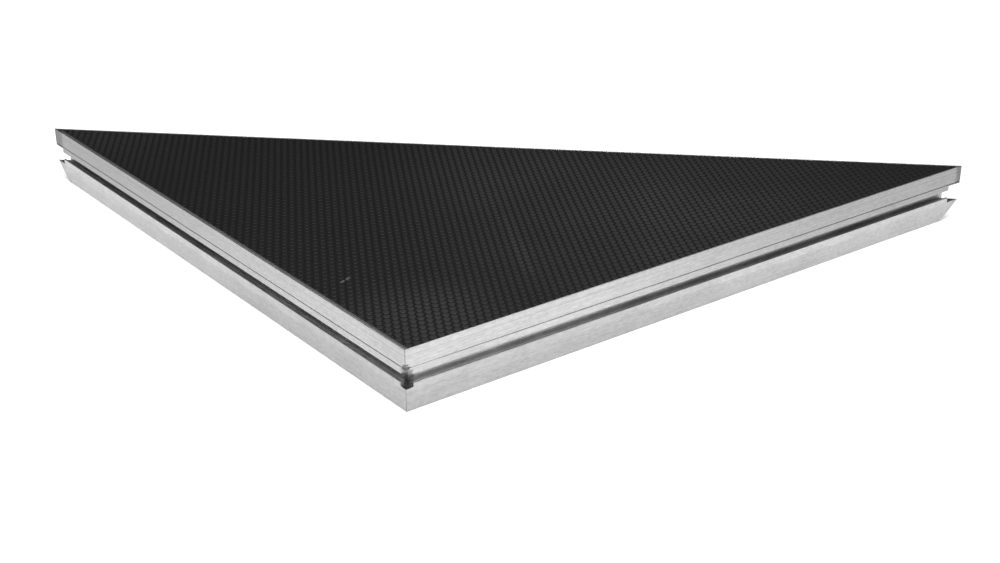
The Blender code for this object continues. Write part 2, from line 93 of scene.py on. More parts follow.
# Tones
ALUMINIUM = 0.575
SIDE_PAINTED_LIGHT = {
    # side: painted light and shade, as tone at its start and end above the slot, then under it
    "right": ((0.84, 0.60), (0.68, 0.78)),
    "long": ((0.80, 0.80), (0.78, 0.78)),
    "left": ((0.58, 0.76), (0.86, 0.66)),
}

# Board: film with hexagonal pads over plywood
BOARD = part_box("deck_board")
PAD_PITCH = 11.5 * MM
PAD_ROW = PAD_PITCH * math.sqrt(3) / 2
PAD_START = Vector((-489.4, -492.0)) * MM
PAD_HEIGHT = 0.5 * MM
PAD_FOOT = 4.5 * MM
PAD_SHOULDER = 3.9 * MM
PAD_CROWN = 3.0 * MM
PAD_DROP = 0.06 * MM
PLY = 1.25 * MM
BOARD_GAPS = {"right": 2.15 * MM, "long": 5.0 * MM, "left": 6.2 * MM}

# Dust on the board: centre, radius and how light it makes the pads
DUST = (
    ((-0.44, -0.44), 0.15, 0.012),
    ((-0.05, -0.07), 0.22, 0.005),
    ((0.05, -0.38), 0.55, 0.012),
    ((-0.50, 0.45), 0.30, 0.007),
)

# Wear on the board: start, end and half width of each scuff, and how light it is
SCUFFS = (
    (Vector((-0.459, -0.298)), Vector((-0.441, -0.290)), 3.2 * MM, 0.13),
    (Vector((-0.160, -0.240)), Vector((-0.256, -0.420)), 14.0 * MM, 0.010),
    (Vector((-0.407, 0.298)), Vector((-0.400, 0.299)), 2.0 * MM, 0.05),
)

# Frame, joists and leg sockets. SLOT, GHOST_LINE and SCRIBE are heights on a side's face, and
# CUT_RISE and CUT_RUN are the slanted cut under an acute tip. SCRIBE_LIGHT_REACH says how far from
# the apex the scribe groove's shade is lifted with painted light, and TIP_REACH how far the
# darkening reaches from the tips.
FRAME_DEPTH = 30.3 * MM
SLOT = (30 * MM, 53 * MM)
GHOST_LINE = 71.5 * MM
SCRIBE = 55.5 * MM
SCRIBE_LIGHT_REACH = {"right": 110 * MM, "left": 30 * MM}
CUT_RISE = 28 * MM
CUT_RUN = 35 * MM
TIP_REACH = {"right": 8 * MM, "left": 26 * MM}
JOIST_HALF = 15 * MM
SOCKET_RADIUS = 30 * MM
PAD_HALF_WIDTH = 14 * MM
BOSS_RADIUS = 14 * MM
CLAMP_HEIGHT = 32 * MM

# Clamp screw and knob, as distances from the socket's axis
THREAD_RADIUS = 5.95 * MM
THREAD_PITCH = 1.75 * MM
THREAD_DEPTH = 1.05 * MM
THREAD_START = 35 * MM
THREAD_END = 62 * MM
SPINDLE_TIP = 29.4 * MM
SPINDLE_NECK = 4 * MM
SPINDLE_END = 74.9 * MM
KNOB_START = 58.5 * MM
KNOB_FACE = 66 * MM
KNOB_TOP = 82 * MM
KNOB_RADIUS = 23 * MM
KNOB_HUB = 10.5 * MM
KNOB_LOBES = 5
KNOB_SWING = 0.215
KNOB_ROUND = 3 * MM
KNOB_ROUND_STEPS = 6

# Board screws: radii of the head, its flat crown and the recess, and the recess's lobes and depth
SCREW_HEAD = 4.6 * MM
SCREW_CROWN = 2.9 * MM
SCREW_RECESS = 1.75 * MM
SCREW_LOBE = 0.32 * MM
SCREW_RECESS_DEPTH = 1.5 * MM
SCREW_SHANK = 2.3 * MM

# Steps round each lathed body
SPINDLE_STEPS = 40
KNOB_STEPS = 120
SCREW_STEPS = 48

# Faces that meet at less than this angle are shaded as one round surface: in general, on the
# board's film and on the weld beads
SMOOTH_ANGLE = math.radians(35)
FILM_ANGLE = math.radians(12)
WELD_ANGLE = math.radians(50)

# Weld beads: radius, ripple, steps to a ripple, sides, steps round a boss, and the heights
# between which a bead runs in each inner corner
BEAD_RADIUS = 2.1 * MM
BEAD_RIPPLE = 2.2 * MM
BEAD_STEPS = 6
BEAD_SIDES = 12
BOSS_BEAD_STEPS = 72
CORNER_BEAD = (4 * MM, 64 * MM)

# Studio
FLOOR_SIZE = 60.0
FLOOR_TONE = 0.60
FLOOR_GLOW = 0.48
WORLD_TONE = 0.06
LIGHTS = {
    # name: place, aim, width, height and power in watts
    "overhead": ((0.1, 0.1, 3.2), (0.1, 0.1, 0.0), 3.4, 3.4, 130.0),
    "front_right": ((0.2, -3.0, 1.6), (0.0, -0.5, 0.0), 1.4, 1.0, 18.0),
    "front_left": ((-3.0, 0.2, 1.6), (-0.5, 0.0, 0.0), 1.4, 1.0, 8.0),
    "near_apex": ((-0.9, -1.2, 2.2), (-0.6, -0.8, 0.0), 0.8, 0.8, 45.0),
}


# ---- Materials ----

class Look:
    """One material and short ways to add nodes to it."""

    def __init__(self, name, roughness=0.5, metallic=0.0):
        self.material = bpy.data.materials.new(name)
        self.material.use_nodes = True
        self.tree = self.material.node_tree
        self.shader = self.tree.nodes["Principled BSDF"]
        self.shader.inputs["Roughness"].default_value = roughness
        self.shader.inputs["Metallic"].default_value = metallic
        self.place = self.node("ShaderNodeTexCoord").outputs["Object"]

    def node(self, kind, **settings):
        made = self.tree.nodes.new(kind)
        for key, value in settings.items():
            setattr(made, key, value)
        return made

    def feed(self, socket, value):
        if isinstance(value, bpy.types.NodeSocket):
            self.tree.links.new(value, socket)
        else:
            if socket.type == "VECTOR":
                value = value[:3]
            socket.default_value = value

    def math(self, operation, first, second=0.0):
        made = self.node("ShaderNodeMath", operation=operation)
        self.feed(made.inputs[0], first)
        self.feed(made.inputs[1], second)
        return made.outputs[0]

    def add(self, first, second):
        return self.math("ADD", first, second)

    def mul(self, first, second):
        return self.math("MULTIPLY", first, second)

    def band(self, value, low, high, start=0.0, end=1.0):
        """Rises smoothly from start to end while value goes from low to high."""
        made = self.node("ShaderNodeMapRange", interpolation_type="SMOOTHSTEP")
        for key, item in (("Value", value), ("From Min", low), ("From Max", high),
                          ("To Min", start), ("To Max", end)):
            self.feed(made.inputs[key], item)
        return made.outputs[0]

    def line(self, value, centre, half_width):
        """1 on the line value = centre, falling to 0 at half_width to either side."""
        away = self.math("ABSOLUTE", self.math("SUBTRACT", value, centre))
        return self.band(away, 0.0, half_width, 1.0, 0.0)

    def mapped(self, vector, scale=(1, 1, 1), turn=0.0, origin=(0, 0, 0)):
        """vector seen from origin, with X along the heading turn, then scaled."""
        moved = self.node("ShaderNodeVectorMath", operation="SUBTRACT")
        self.feed(moved.inputs[0], vector)
        moved.inputs[1].default_value = origin
        turned = self.node("ShaderNodeVectorRotate", rotation_type="Z_AXIS")
        self.feed(turned.inputs["Vector"], moved.outputs[0])
        turned.inputs["Angle"].default_value = -turn
        scaled = self.node("ShaderNodeVectorMath", operation="MULTIPLY")
        self.feed(scaled.inputs[0], turned.outputs[0])
        scaled.inputs[1].default_value = scale
        return scaled.outputs[0]

    def split(self, vector):
        made = self.node("ShaderNodeSeparateXYZ")
        self.feed(made.inputs[0], vector)
        return made.outputs[0], made.outputs[1], made.outputs[2]

    def noise(self, vector, scale=1.0, detail=3.0, roughness=0.55, spread=0.5):
        """Noise from -spread to spread or so."""
        made = self.node("ShaderNodeTexNoise")
        self.feed(made.inputs["Vector"], vector)
        made.inputs["Scale"].default_value = scale
        made.inputs["Detail"].default_value = detail
        made.inputs["Roughness"].default_value = roughness
        return self.mul(self.math("SUBTRACT", made.outputs["Fac"], 0.5), 4 * spread)

    def mix(self, factor, first, second):
        made = self.node("ShaderNodeMix", data_type="RGBA")
        self.feed(made.inputs["Factor"], factor)
        self.feed(made.inputs["A"], first)
        self.feed(made.inputs["B"], second)
        return made.outputs["Result"]

    def scaled_colour(self, colour, value):
        made = self.node("ShaderNodeVectorMath", operation="SCALE")
        self.feed(made.inputs[0], colour)
        self.feed(made.inputs["Scale"], value)
        return made.outputs[0]

    def bump(self, height, strength, distance):
        made = self.node("ShaderNodeBump")
        made.inputs["Strength"].default_value = strength
        made.inputs["Distance"].default_value = distance
        self.feed(made.inputs["Height"], height)
        return made.outputs[0]

    def finish(self, colour, roughness=None, normal=None):
        """Feeds the shader; an item left out keeps its constant."""
        for key, value in (("Base Color", colour), ("Roughness", roughness),
                           ("Normal", normal)):
            if value is not None:
                self.feed(self.shader.inputs[key], value)
        return self.material


def grey(value, warmth=0.0):
    return (value * (1 + warmth), value, value * (1 - warmth), 1.0)


def streaked(look, along, fine, coarse):
    """Fine and coarse die lines that run along the first axis of the vector along."""
    return (
        look.noise(look.mapped(along, (6, fine, fine)), detail=2.0),
        look.noise(look.mapped(along, (2.5, coarse, coarse)), detail=3.0),
    )


def extrusion_look(side):
    """Mill-finish aluminium with die lines along the length, cloudy handling marks, wear, and
    painted light and shade.
    """
    start, end = SIDES[side]
    length = (end - start).length
    look = Look("extrusion_" + side, metallic=1.0)
    along = look.mapped(look.place, turn=SIDE_ANGLES[side], origin=(*start, 0))
    s, d, z = look.split(along)
    to_end = look.math("SUBTRACT", length, s)
    fine, coarse = streaked(look, along, 1500, 480)
    scratch = look.noise(look.mapped(along, (90, 620, 620)), detail=3.0, roughness=0.65)
    cloud = look.noise(look.mapped(along, (16, 34, 34)), detail=5.0, roughness=0.62)
    blotch = look.noise(look.mapped(along, (120, 170, 170)), detail=4.0, roughness=0.7)
    grain = look.noise(look.mapped(along, (600, 800, 800)), detail=3.0, roughness=0.7)
    marks = look.add(look.mul(fine, 0.16), look.mul(coarse, 0.24))
    marks = look.add(marks, look.add(look.mul(cloud, 0.22), look.mul(grain, 0.16)))
    marks = look.add(marks, look.add(look.mul(scratch, 0.34), look.mul(blotch, 0.20)))
    tone = look.add(1.0, marks)
    tone = look.mul(tone, side_painted_light(look, side, s, z, length))
    tone = look.mul(tone, lip_painted_highlight(look, z, cloud))
    tone = look.mul(tone, slot_painted_light(look, side, s, d, z, length))
    tone = look.mul(tone, line_tone(look, look.line(z, GHOST_LINE, 1.1 * MM), scratch, 0.80))
    if side != "long":
        from_apex, from_tip = (s, to_end) if side == "right" else (to_end, s)
        tone = look.mul(tone, apex_tone(look, from_apex, z, d, scratch, SCRIBE_LIGHT_REACH[side]))
        tone = look.mul(tone, tip_tone(look, from_tip, z, d, cloud, TIP_REACH[side]))
    colour = look.scaled_colour(grey(ALUMINIUM), tone)
    roughness = look.add(0.40, look.add(look.mul(coarse, 0.06), look.mul(cloud, 0.08)))
    height = look.add(look.mul(fine, 0.6), look.add(look.mul(coarse, 0.8), look.mul(grain, 0.5)))
    return look.finish(colour, roughness, look.bump(height, 0.35, 0.05 * MM))


def side_painted_light(look, side, s, z, length):
    """Painted light and shade: the side's broad fall of tone from one end to the other, above and
    under its slot.
    """
    upper, lower = SIDE_PAINTED_LIGHT[side]
    # painted light and shade: tone set by place along the side and by height, standing in for the
    # light's fall
    high = look.band(z, SLOT[0], SLOT[1])
    start = look.band(high, 0.0, 1.0, lower[0], upper[0])
    end = look.band(high, 0.0, 1.0, lower[1], upper[1])
    return look.band(look.band(s, 0.0, length), 0.0, 1.0, start, end)


def lip_painted_highlight(look, z, cloud):
    """The slot's lower lip, painted brighter in patches: a painted highlight."""
    wavy = look.add(z, look.mul(cloud, 9 * MM))
    # painted highlight: the lower lip lighter in patches
    lip_highlight = look.mul(look.band(wavy, 22 * MM, 29 * MM), look.band(z, 36 * MM, 38 * MM, 1.0, 0.0))
    return look.band(lip_highlight, 0.0, 1.0, 1.0, 1.12)


def slot_painted_light(look, side, s, d, z, length):
    """Painted light on the slot's inner faces: lighter than outside, most of all towards the apex.
    """
    inside = look.mul(look.band(d, 2.0 * MM, 5.0 * MM), look.band(z, 28 * MM, 30 * MM))
    inside = look.mul(inside, look.band(z, 53 * MM, 55 * MM, 1.0, 0.0))
    # painted light: the slot's inside lifted, most near the apex
    tone_with_painted_light = {
        "right": look.band(s, 0.0, 0.8 * length, 1.9, 1.1),
        "long": 1.3,
        "left": look.band(s, 0.2 * length, length, 1.1, 1.9),
    }[side]
    return look.band(inside, 0.0, 1.0, 1.0, tone_with_painted_light)


def line_tone(look, line, scratch, dark):
    """A faint line that comes and goes."""
    return look.band(look.mul(line, look.band(scratch, -0.7, 0.3)), 0.0, 1.0, 1.0, dark)


def apex_tone(look, from_apex, z, d, scratch, scribe_light_reach):
    """Grime and painted shade about the apex's notch, its dark seam, and painted light that lifts
    the scribe groove's shade near it.
    """
    # grime and painted shade: the notch's opening darkened
    reach = look.add(look.math("SUBTRACT", from_apex, d), look.mul(scratch, 7 * MM))
    grime_and_painted_shade = look.mul(look.band(reach, 4 * MM, 11 * MM, 1.0, 0.0), look.band(z, 28 * MM, 30 * MM))
    top = look.band(from_apex, 3 * MM, 9 * MM, 58 * MM, 52 * MM)
    above = look.math("SUBTRACT", look.add(z, look.mul(scratch, 8 * MM)), top)
    grime_and_painted_shade = look.mul(grime_and_painted_shade, look.band(above, 0.0, 3 * MM, 1.0, 0.0))
    tone = look.band(grime_and_painted_shade, 0.0, 1.0, 1.0, 0.34)
    seam = look.mul(look.band(from_apex, 0.1 * MM, 1.1 * MM, 1.0, 0.0),
                    look.band(z, 52 * MM, 58 * MM, 0.4, 1.0))
    tone = look.mul(tone, look.band(seam, 0.0, 1.0, 1.0, 0.62))
    # painted light: the scribe groove's shade lifted near the apex
    scribe_lift_mask = look.band(from_apex, 0.0, scribe_light_reach, 1.0, 0.0)
    lifted_scribe = look.mul(look.line(z, SCRIBE, 1.2 * MM), scribe_lift_mask)
    return look.mul(tone, look.band(lifted_scribe, 0.0, 1.0, 1.0, 1.5))


def tip_tone(look, from_tip, z, d, cloud, reach):
    """An acute tip: duller at its very end, and a fine line inside its slanted cut."""
    wavy = look.add(from_tip, look.mul(cloud, 16 * MM))
    dull = look.mul(look.band(wavy, 0.5 * reach, 1.6 * reach, 1.0, 0.0),
                    look.band(d, 2 * MM, 4 * MM, 1.0, 0.0))
    dull = look.mul(dull, look.band(z, SLOT[0], SLOT[1], 0.5, 1.0))
    tone = look.band(dull, 0.0, 1.0, 1.0, 0.55)
    rise = look.math("SUBTRACT", CUT_RISE, z)
    inner = look.math("SUBTRACT", look.mul(from_tip, CUT_RISE / CUT_RUN), rise)
    line = look.line(inner, 3.6 * MM, 0.9 * MM)
    return look.mul(tone, look.band(line, 0.0, 1.0, 1.0, 0.80))


def drawn_look(name, axis, value):
    """Drawn or extruded aluminium whose die lines run along an axis, with soft stains."""
    look = Look(name, metallic=1.0)
    x, y, z = look.split(look.place)
    swapped = look.node("ShaderNodeCombineXYZ")
    for socket, source in zip(swapped.inputs, (z, x, y) if axis == "Z" else (x, y, z)):
        look.feed(socket, source)
    fine, coarse = streaked(look, swapped.outputs[0], 1800, 350)
    stain = look.noise(look.place, 28.0, detail=4.0)
    tone = look.add(look.mul(fine, 0.08), look.add(look.mul(coarse, 0.10), look.mul(stain, 0.12)))
    colour = look.scaled_colour(grey(value), look.add(1.0, tone))
    roughness = look.add(0.42, look.mul(stain, 0.10))
    height = look.add(look.mul(fine, 0.7), coarse)
    return look.finish(colour, roughness, look.bump(height, 0.35, 0.05 * MM))


def turned_look(name, corner, value, roughness):
    """Metal turned on a lathe about a clamp's axis: fine rings, with a little stain."""
    look = Look(name, metallic=1.0)
    x, y, z = look.split(clamp_space(look, corner))
    away = look.math("SQRT", look.add(look.mul(y, y), look.mul(z, z)))
    rings = look.node("ShaderNodeCombineXYZ")
    look.feed(rings.inputs[0], look.mul(x, 2600.0))
    look.feed(rings.inputs[1], look.mul(away, 2600.0))
    lines = look.noise(rings.outputs[0], detail=2.0)
    stain = look.noise(look.place, 90.0, detail=4.0)
    tone = look.add(1.0, look.add(look.mul(lines, 0.10), look.mul(stain, 0.12)))
    rough = look.add(roughness, look.add(look.mul(lines, 0.05), look.mul(stain, 0.10)))
    colour = look.scaled_colour(grey(value), tone)
    return look.finish(colour, rough, look.bump(lines, 0.3, 0.04 * MM))


def clamp_space(look, corner):
    """Places measured from a clamp's axis, X along it, for a piece in the deck's own frame."""
    _, heading = CORNERS[corner]
    centre = socket_centre(corner)
    return look.mapped(look.place, turn=heading, origin=(centre.x, centre.y, CLAMP_HEIGHT))


def sheet_look(name, value, size):
    """Dull rolled metal with a fine random grain and soft stains."""
    look = Look(name, metallic=1.0)
    grain = look.noise(look.place, size, detail=4.0, roughness=0.7)
    stain = look.noise(look.place, size / 40, detail=4.0)
    tone = look.add(1.0, look.add(look.mul(grain, 0.10), look.mul(stain, 0.14)))
    roughness = look.add(0.46, look.add(look.mul(grain, 0.06), look.mul(stain, 0.08)))
    return look.finish(look.scaled_colour(grey(value), tone), roughness,
                       look.bump(grain, 0.3, 0.05 * MM))


def weld_look():
    """Cast-like aluminium of a weld bead, sooty in places."""
    look = Look("weld", metallic=1.0)
    grain = look.noise(look.place, 1500.0, detail=4.0, roughness=0.7)
    soot = look.band(look.noise(look.place, 60.0, detail=4.0), -0.2, 0.8, 1.0, 0.5)
    tone = look.mul(look.add(1.0, look.mul(grain, 0.15)), soot)
    roughness = look.add(0.50, look.mul(grain, 0.12))
    return look.finish(look.scaled_colour(grey(0.60), tone), roughness,
                       look.bump(grain, 0.4, 0.08 * MM))


def zinc_look(name, value, roughness):
    """Zinc-plated steel: faint cloudy plating and dark dirt in its hollows."""
    look = Look(name, metallic=1.0)
    cloud = look.noise(look.place, 260.0, detail=4.0)
    grain = look.noise(look.place, 2400.0, detail=2.0)
    hollow = look.node("ShaderNodeNewGeometry").outputs["Pointiness"]
    dirt = look.band(hollow, 0.40, 0.50, 0.55, 1.0)
    tone = look.mul(look.add(1.0, look.add(look.mul(cloud, 0.16), look.mul(grain, 0.08))), dirt)
    rough = look.add(roughness, look.add(look.mul(cloud, 0.08), look.mul(grain, 0.05)))
    return look.finish(look.scaled_colour(grey(value, 0.015), tone), rough,
                       look.bump(grain, 0.2, 0.03 * MM))


def knob_look():
    """Black moulded plastic: fine spark-eroded grain, smoother and greyer on its worn edges."""
    look = Look("knob_plastic")
    grain = look.noise(look.place, 2600.0, detail=2.0)
    wear = look.noise(look.place, 120.0, detail=4.0)
    edge = look.band(look.node("ShaderNodeNewGeometry").outputs["Pointiness"], 0.52, 0.60)
    tone = look.band(edge, 0.0, 1.0, 0.013, 0.03)
    tone = look.mul(tone, look.add(1.0, look.add(look.mul(grain, 0.15), look.mul(wear, 0.25))))
    roughness = look.add(0.50, look.add(look.mul(grain, 0.06), look.mul(wear, 0.10)))
    return look.finish(look.scaled_colour(grey(1.0), tone), roughness,
                       look.bump(grain, 0.35, 0.05 * MM))


def scuff(look, start, end, half_width):
    """1 along a scuff on the board, fading out with its distance from the line start to end."""
    run = end - start
    side = look.mapped(look.place, turn=math.atan2(run.y, run.x), origin=(*start, 0))
    s, d, _ = look.split(side)
    across = look.band(look.math("ABSOLUTE", d), 0.0, half_width, 1.0, 0.0)
    ends = look.mul(look.band(s, -half_width, half_width),
                    look.band(s, run.length - half_width, run.length + half_width, 1.0, 0.0))
    return look.mul(across, ends)


def film_look():
    """Black phenolic film: grooves darker than the pads with painted shade and dirt, pads greyed
    by dust and shoes, and a few scuffs.
    """
    look = Look("board_film")
    x, y, z = look.split(look.place)
    raised = look.band(z, TOP - PAD_HEIGHT, TOP - 0.1 * MM)
    cloud = look.noise(look.place, 9.0, detail=4.0)
    grain = look.noise(look.place, 900.0, detail=3.0)
    dust = 0.0
    for (centre_x, centre_y), radius, amount in DUST:
        away = look.node("ShaderNodeVectorMath", operation="DISTANCE")
        flat = look.node("ShaderNodeCombineXYZ")
        look.feed(flat.inputs[0], x)
        look.feed(flat.inputs[1], y)
        look.feed(away.inputs[0], flat.outputs[0])
        away.inputs[1].default_value = (centre_x, centre_y, 0.0)
        dust = look.add(dust, look.band(away.outputs["Value"], 0.0, radius, amount, 0.0))
    dust = look.mul(dust, look.add(1.0, look.mul(cloud, 0.5)))
    # painted shade and dirt: grooves darker than the pads
    tone_with_painted_light = look.band(raised, 0.0, 1.0, 0.003, 0.0055)
    tone = look.add(tone_with_painted_light, look.mul(dust, raised))
    for start, end, half_width, light in SCUFFS:
        mark = look.mul(scuff(look, start, end, half_width), look.band(grain, -0.6, 0.6))
        tone = look.add(tone, look.mul(look.mul(mark, raised), light))
    tone = look.mul(tone, look.add(1.0, look.mul(grain, 0.4)))
    colour = look.scaled_colour(grey(1.0), tone)
    roughness = look.add(0.48, look.add(look.mul(cloud, 0.06), look.mul(grain, 0.10)))
    look.shader.inputs["Specular IOR Level"].default_value = 0.14
    return look.finish(colour, roughness, look.bump(grain, 0.25, 0.04 * MM))


def ply_look():
    """Sawn plywood edge: plies in turn light and dark, under the black film; their strong contrast
    is partly painted light and shade of the lit upper edge and shaded depth of the gap.
    """
    look = Look("board_ply", roughness=0.75)
    _, _, z = look.split(look.place)
    bottom = BOARD[0].z
    turn = look.mul(look.math("SUBTRACT", z, bottom), math.pi / PLY)
    plies = look.band(look.math("SINE", turn), -0.25, 0.25)
    fibres = look.noise(look.mapped(look.place, (160, 160, 1500)), detail=3.0)
    # real alternating plies, their contrast raised as painted light and shade
    tone = look.mul(look.band(plies, 0.0, 1.0, 0.16, 0.52), look.add(1.0, look.mul(fibres, 0.3)))
    colour = look.scaled_colour(grey(1.0, 0.01), tone)
    skin = look.math("MAXIMUM", look.band(z, TOP - 1.0 * MM, TOP - 0.8 * MM),
                     look.band(z, bottom + 0.3 * MM, bottom + 0.4 * MM, 1.0, 0.0))
    return look.finish(look.mix(skin, colour, grey(0.012)), None, look.bump(fibres, 0.4, 0.1 * MM))


# ---- Helpers for pieces ----

def add_piece(name, mesh, body, material, matrix=None):
    """A piece that rides on a body; pieces may share one mesh and its material."""
    piece = bpy.data.objects.new(name, mesh)
    bpy.context.scene.collection.objects.link(piece)
    if material is not None and not mesh.materials:
        mesh.materials.append(material)
    if matrix is not None:
        piece.matrix_world = matrix
    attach(piece, body)
    return piece


def side_lines():
    """Each side's start and end in plan, anticlockwise, at the deck's corners."""
    apex = Vector((LOW.x, LOW.y))
    reach = -2 * LOW.x
    right = apex + Vector((reach, 0))
    left = apex + Vector((0, reach))
    return {"right": (apex, right), "long": (right, left), "left": (left, apex)}


SIDES = side_lines()
CORNER_TIPS = {"apex": SIDES["right"][0], "right": SIDES["right"][1], "left": SIDES["left"][0]}


# ---- Board ----

def board_planes():
    """A point and an inward normal, in plan, for each of the board's three edges."""
    planes = []
    for side, (start, end) in SIDES.items():
        ahead = (end - start).normalized()
        inward = Vector((-ahead.y, ahead.x))
        planes.append((start + inward * BOARD_GAPS[side], inward))
    return planes


def hexagon(radius, centre):
    """Corners of a hexagon with flats towards +X and -X, radius being to the flats."""
    reach = radius / math.cos(math.pi / 6)
    angles = (math.radians(30 + 60 * step) for step in range(6))
    return [(centre.x + reach * math.cos(a), centre.y + reach * math.sin(a)) for a in angles]


def add_pad(bm, centre, floor):
    """One cell of the film: its share of the groove, and the pad's flanks and crown."""
    rings = []
    for radius, height in (
        (PAD_PITCH / 2, 0.0),
        (PAD_FOOT, 0.0),
        (PAD_SHOULDER, PAD_HEIGHT - PAD_DROP),
        (PAD_CROWN, PAD_HEIGHT),
    ):
        corners = hexagon(radius, centre)
        rings.append([bm.verts.new((x, y, floor + height)) for x, y in corners])
    for outer, inner in zip(rings, rings[1:]):
        for index in range(6):
            after = (index + 1) % 6
            bm.faces.new((outer[index], outer[after], inner[after], inner[index]))
    bm.faces.new(rings[-1])


def board_mesh():
    """The board as one closed body: padded film on top, plywood edges and a plain underside."""
    bm = bmesh.new()
    floor = TOP - PAD_HEIGHT
    planes = board_planes()
    rows = int((HIGH.y - LOW.y) / PAD_ROW) + 2
    for row in range(-1, rows):
        for column in range(-1, int((HIGH.x - LOW.x) / PAD_PITCH) + 2):
            shift = PAD_PITCH / 2 if row % 2 else 0.0
            centre = PAD_START + Vector((column * PAD_PITCH + shift, row * PAD_ROW))
            if all((centre - point).dot(inward) > -PAD_PITCH for point, inward in planes):
                add_pad(bm, centre, floor)
    bmesh.ops.remove_doubles(bm, verts=bm.verts[:], dist=0.02 * MM)
    for point, inward in planes:
        bmesh.ops.bisect_plane(
            bm, geom=bm.verts[:] + bm.edges[:] + bm.faces[:], dist=0.01 * MM,
            plane_co=(*point, 0), plane_no=(*-inward, 0), clear_outer=True,
        )
    rim = [edge for edge in bm.edges if edge.is_boundary]
    grown = bmesh.ops.extrude_edge_only(bm, edges=rim)["geom"]
    lower = [item for item in grown if isinstance(item, bmesh.types.BMVert)]
    for vert in lower:
        vert.co.z = BOARD[0].z
    walls = [item for item in grown if isinstance(item, bmesh.types.BMFace)]
    for face in walls:
        face.material_index = 1
    base = [item for item in grown if isinstance(item, bmesh.types.BMEdge)]
    bmesh.ops.contextual_create(bm, geom=base)
    bmesh.ops.recalc_face_normals(bm, faces=bm.faces[:])
    mesh = bpy.data.meshes.new("deck_panel")
    bm.to_mesh(mesh)
    bm.free()
    return mesh


def add_board():
    mesh = board_mesh()
    mesh.materials.append(film_look())
    mesh.materials.append(ply_look())
    mesh.shade_smooth()
    mesh.set_sharp_from_angle(angle=FILM_ANGLE)
    panel = add_piece("deck_panel", mesh, "deck", None)
    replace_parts(panel, "deck_board")


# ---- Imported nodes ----

def soften(mesh):
    """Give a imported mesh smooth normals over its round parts, without touching its points."""
    places = np.empty(len(mesh.vertices) * 3)
    mesh.vertices.foreach_get("co", places)
    keys = np.round(places.reshape(-1, 3) / (0.002 * MM)).astype(np.int64)
    _, shared = np.unique(keys, axis=0, return_inverse=True)
    shared = shared.ravel()
    normals = np.array([polygon.normal for polygon in mesh.polygons])
    areas = np.array([polygon.area for polygon in mesh.polygons])
    around = {}
    for polygon in mesh.polygons:
        for vertex in polygon.vertices:
            around.setdefault(shared[vertex], []).append(polygon.index)
    smooth = np.empty((len(mesh.loops), 3))
    limit = math.cos(SMOOTH_ANGLE)
    for polygon in mesh.polygons:
        own = normals[polygon.index]
        for loop in polygon.loop_indices:
            near = np.array(around[shared[mesh.loops[loop].vertex_index]])
            near = near[normals[near] @ own > limit]
            total = (normals[near] * areas[near, None]).sum(axis=0)
            smooth[loop] = total / max(np.linalg.norm(total), 1e-12)
    mesh.shade_smooth()
    mesh.normals_split_custom_set(smooth)


def paint(node, material):
    """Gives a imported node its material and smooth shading."""
    mesh = frame["nodes"][node].data
    mesh.materials.clear()
    mesh.materials.append(material)
    soften(mesh)


def dress_frame():
    for side in SIDES:
        paint("frame_" + side, extrusion_look(side))
    joist = drawn_look("joist", "X", 0.52)
    for name in ("joist_long", "joist_short"):
        paint(name, joist)
    plate = sheet_look("plate", 0.50, 1300.0)
    for name in ("closing_plate_right", "closing_plate_left"):
        paint(name, plate)
    tube = drawn_look("socket_tube", "Z", 0.50)
    for corner in CORNERS:
        paint("leg_stop_" + corner, plate)
        paint("leg_socket_" + corner, tube)
        paint("clamp_boss_" + corner, turned_look("boss_" + corner, corner, 0.52, 0.38))
        paint("clamp_shoe_" + corner, turned_look("shoe_" + corner, corner, 0.42, 0.34))


# ---- Clamps ----

def socket_centre(corner):
    """The plan position of a socket's axis."""
    return Vector(MOUNTS["leg_seat_" + corner]["pos_m"]).xy


def clamp_matrix(corner):
    """A clamp's own frame: its origin on the socket's axis, X along the clamp's axis."""
    centre = socket_centre(corner)
    _, heading = CORNERS[corner]
    place = Matrix.Translation((centre.x, centre.y, CLAMP_HEIGHT))
    return place @ Matrix.Rotation(heading, 4, "Z")


def lathe(sections, steps, radius_at=None):
    """A closed body about X from (x, radius) sections; radius_at may change each radius."""
    bm = bmesh.new()
    rings = []
    for x, radius in sections:
        ring = []
        for step in range(steps):
            angle = 2 * math.pi * step / steps
            reach = radius_at(x, radius, angle) if radius_at else radius
            ring.append(bm.verts.new((x, reach * math.sin(angle), reach * math.cos(angle))))
        rings.append(ring)
    for first, second in zip(rings, rings[1:]):
        for step in range(steps):
            after = (step + 1) % steps
            bm.faces.new((first[step], first[after], second[after], second[step]))
    bm.faces.new(rings[0])
    bm.faces.new(rings[-1])
    bmesh.ops.recalc_face_normals(bm, faces=bm.faces[:])
    return bm


def finish_mesh(name, bm, smooth_angle=SMOOTH_ANGLE):
    """Turns bm into a mesh, smooth except where its faces meet at more than smooth_angle."""
    mesh = bpy.data.meshes.new(name)
    bm.to_mesh(mesh)
    bm.free()
    mesh.shade_smooth()
    mesh.set_sharp_from_angle(angle=smooth_angle)
    return mesh


def thread_radius(x, radius, angle):
    """Cuts a helical groove into the threaded length, fading in at its start."""
    if x <= THREAD_START or radius < THREAD_RADIUS:
        return radius
    phase = (x / THREAD_PITCH + angle / (2 * math.pi)) % 1.0
    groove = max(0.0, 1.0 - abs(2 * phase - 1) * 1.15)
    fade = min(1.0, (x - THREAD_START) / THREAD_PITCH)
    return radius - THREAD_DEPTH * groove * fade


